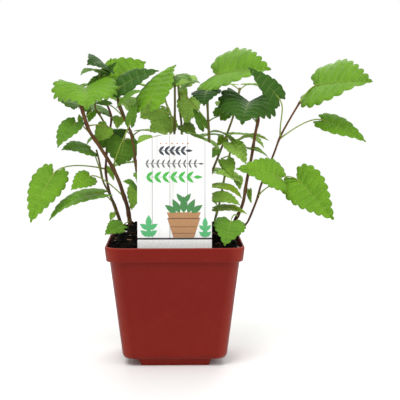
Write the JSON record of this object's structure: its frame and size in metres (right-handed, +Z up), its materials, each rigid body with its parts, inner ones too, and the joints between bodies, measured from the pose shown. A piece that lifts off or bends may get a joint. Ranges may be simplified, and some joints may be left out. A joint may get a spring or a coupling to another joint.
{
  "type": "potted catnip plant",
  "caption": "Bushy catnip herb with toothed heart-shaped leaves on thin branching stems, growing in a square terracotta-coloured nursery pot with a plant tag that has a drawn pattern.",
  "frame": {"origin": "centre of the pot's underside, on the ground plane", "axes": "+Z up, +X to the viewer's right along the pot's front, -Y towards the viewer"},
  "size_m": [0.2718, 0.1772, 0.2508],
  "materials": {
    "pot_plastic": "satin terracotta-red moulded plastic",
    "soil": "rough dark potting mix",
    "tag_card": "smooth white plastic card",
    "foliage": "soft green leaves on red-brown stems"
  },
  "bodies": {
    "root": {"pot": "pot_plastic", "soil": "soil", "plant_tag": "tag_card", "stem_left_thick": "foliage", "stem_left_thin": "foliage", "stem_left_red": "foliage", "stem_left_inner": "foliage", "stem_left_brown": "foliage", "stem_centre": "foliage", "stem_centre_left": "foliage", "stem_centre_right": "foliage", "stem_right_inner": "foliage", "stem_right_thick": "foliage", "stem_right_thin": "foliage", "stem_right_low": "foliage", "stem_back_left": "foliage", "stem_back_centre": "foliage", "stem_back_right": "foliage"}
  },
  "joints": []
}
